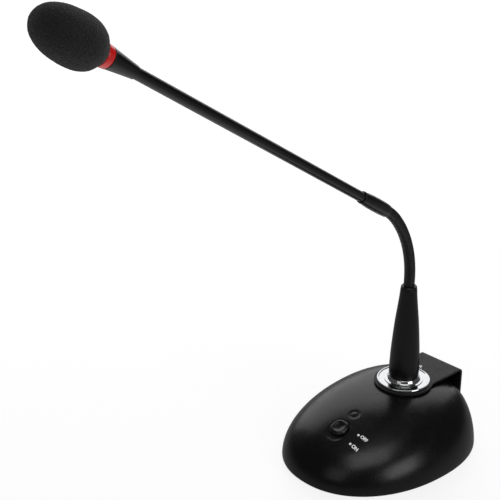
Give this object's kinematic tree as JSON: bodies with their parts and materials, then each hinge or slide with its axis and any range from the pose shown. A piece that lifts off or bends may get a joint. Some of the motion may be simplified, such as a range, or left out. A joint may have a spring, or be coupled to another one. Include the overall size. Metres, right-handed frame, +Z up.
{
  "type": "gooseneck podium microphone",
  "caption": "Desk microphone: weighted teardrop base with slide switch, chrome neck flange, tapered stem, flexible neck, long slim arm, red light ring and egg-shaped foam windscreen.",
  "frame": {"origin": "on the table, under the middle of the non-slip pad's neck end: straight below the neck stem's axis", "axes": "+Z up along the stem, -Y towards the person who talks (the arm leans that way), +X across the base"},
  "size_m": [0.124, 0.3479, 0.3592],
  "materials": {
    "shell_plastic": "satin black moulded plastic",
    "door_plastic": "fine-textured black plastic",
    "knob_plastic": "satin black plastic",
    "plate_steel": "dark painted sheet steel",
    "bracket_paint": "fine powder coat",
    "neck_paint": "matte black paint",
    "pad_rubber": "ribbed non-slip rubber",
    "ballast_iron": "as cast",
    "chrome_plate": "polished",
    "zinc_steel": "zinc plated",
    "contact_metal": "nickel plated",
    "cell_jacket": "printed steel can, no lettering",
    "board_laminate": "solder mask",
    "chip_plastic": "moulded package",
    "led_red": "clear red epoxy",
    "lens_smoke": "smoked, glossy",
    "ring_red": "translucent red, glossy",
    "lead_jacket": "soft PVC jacket",
    "foam_black": "open-cell foam",
    "isolator_rubber": "moulded",
    "capsule_metal": "satin"
  },
  "bodies": {
    "base": {"base_shell": "shell_plastic", "bottom_plate": "plate_steel", "non_slip_pad": "pad_rubber", "ballast_weight": "ballast_iron", "base_screw_1": "zinc_steel", "base_screw_2": "zinc_steel", "base_screw_3": "zinc_steel", "base_screw_4": "zinc_steel", "battery_tray": "door_plastic", "tray_screw_1": "zinc_steel", "tray_screw_2": "zinc_steel", "battery_cell_1": "cell_jacket", "battery_cell_2": "cell_jacket", "battery_spring_1": "contact_metal", "battery_spring_2": "contact_metal", "battery_link_contact": "contact_metal", "battery_positive_contact": "contact_metal", "battery_negative_contact": "contact_metal", "circuit_board": "board_laminate", "board_screw_1": "zinc_steel", "board_screw_2": "zinc_steel", "preamp_chip": "chip_plastic", "switch_board": "board_laminate", "switch_board_screw_1": "zinc_steel", "switch_board_screw_2": "zinc_steel", "slide_switch_body": "zinc_steel", "indicator_led": "led_red", "indicator_lens": "lens_smoke", "output_jack": "zinc_steel", "jack_nut": "zinc_steel", "rear_bracket": "bracket_paint", "bracket_screw": "chrome_plate", "neck_flange": "chrome_plate", "neck_hub": "chrome_plate", "threaded_neck_tube": "zinc_steel", "neck_washer": "zinc_steel", "neck_lock_nut": "zinc_steel", "neck_stem": "neck_paint", "base_lead": "lead_jacket", "gooseneck_segment_1": "neck_paint"},
    "neck_link_1": {"gooseneck_segment_2": "neck_paint"},
    "neck_link_2": {"gooseneck_segment_3": "neck_paint"},
    "neck_link_3": {"gooseneck_segment_4": "neck_paint"},
    "neck_link_4": {"gooseneck_segment_5": "neck_paint"},
    "neck_link_5": {"gooseneck_segment_6": "neck_paint"},
    "neck_link_6": {"gooseneck_segment_7": "neck_paint"},
    "neck_link_7": {"gooseneck_segment_8": "neck_paint"},
    "head_arm": {"gooseneck_segment_9": "neck_paint", "coupling_collar": "neck_paint", "rigid_tube": "neck_paint", "tube_lead": "lead_jacket", "head_ferrule": "neck_paint", "light_ring": "ring_red", "led_ring_board": "board_laminate", "capsule_housing": "neck_paint", "capsule_isolator": "isolator_rubber", "mic_capsule": "capsule_metal"},
    "switch_slider": {"switch_knob": "knob_plastic"},
    "battery_lid": {"battery_door": "door_plastic"},
    "windscreen": {"foam_windscreen": "foam_black"}
  },
  "joints": [
    {"name": "neck_pitch_1", "type": "hinge", "parent": "base", "child": "neck_link_1", "pos_m": [0, 0, 0.1263], "axis": [1, 0, 0], "range_deg": [-14.4, 10]},
    {"name": "neck_lateral_1", "type": "hinge", "parent": "neck_link_1", "child": "neck_link_2", "pos_m": [0, -0.00044, 0.13553], "axis": [0, 0.9942, 0.1076], "range_deg": [-12, 12]},
    {"name": "neck_pitch_2", "type": "hinge", "parent": "neck_link_2", "child": "neck_link_3", "pos_m": [0, -0.00199, 0.14464], "axis": [1, 0, 0], "range_deg": [-14.4, 10]},
    {"name": "neck_lateral_2", "type": "hinge", "parent": "neck_link_3", "child": "neck_link_4", "pos_m": [0, -0.00462, 0.15349], "axis": [0, 0.9396, 0.3424], "range_deg": [-12, 12]},
    {"name": "neck_pitch_3", "type": "hinge", "parent": "neck_link_4", "child": "neck_link_5", "pos_m": [0, -0.00831, 0.16197], "axis": [1, 0, 0], "range_deg": [-14.4, 10]},
    {"name": "neck_lateral_3", "type": "hinge", "parent": "neck_link_5", "child": "neck_link_6", "pos_m": [0, -0.01298, 0.16994], "axis": [0, 0.8303, 0.5573], "range_deg": [-12, 12]},
    {"name": "neck_pitch_4", "type": "hinge", "parent": "neck_link_6", "child": "neck_link_7", "pos_m": [0, -0.01859, 0.17728], "axis": [1, 0, 0], "range_deg": [-14.4, 10]},
    {"name": "neck_lateral_4", "type": "hinge", "parent": "neck_link_7", "child": "head_arm", "pos_m": [0, -0.02521, 0.18371], "axis": [0, 0.6212, 0.7837], "range_deg": [-12, 12]},
    {"name": "power_switch_slide", "type": "slide", "parent": "base", "child": "switch_slider", "axis": [0, -0.932, -0.3625], "range_m": [0, 0.004]},
    {"name": "battery_door_hinge", "type": "hinge", "parent": "base", "child": "battery_lid", "pos_m": [0, -0.0416, 0.0032], "axis": [1, 0, 0], "range_deg": [0, 100]},
    {"name": "windscreen_pull", "type": "slide", "parent": "head_arm", "child": "windscreen", "axis": [0, -0.8469, 0.5317], "range_m": [0, 0.06]}
  ],
  "couplings": [
    {"joint": "neck_pitch_2", "follows": "neck_pitch_1", "ratio": 1},
    {"joint": "neck_lateral_2", "follows": "neck_lateral_1", "ratio": 1},
    {"joint": "neck_pitch_3", "follows": "neck_pitch_1", "ratio": 1},
    {"joint": "neck_lateral_3", "follows": "neck_lateral_1", "ratio": 1},
    {"joint": "neck_pitch_4", "follows": "neck_pitch_1", "ratio": 1},
    {"joint": "neck_lateral_4", "follows": "neck_lateral_1", "ratio": 1}
  ]
}
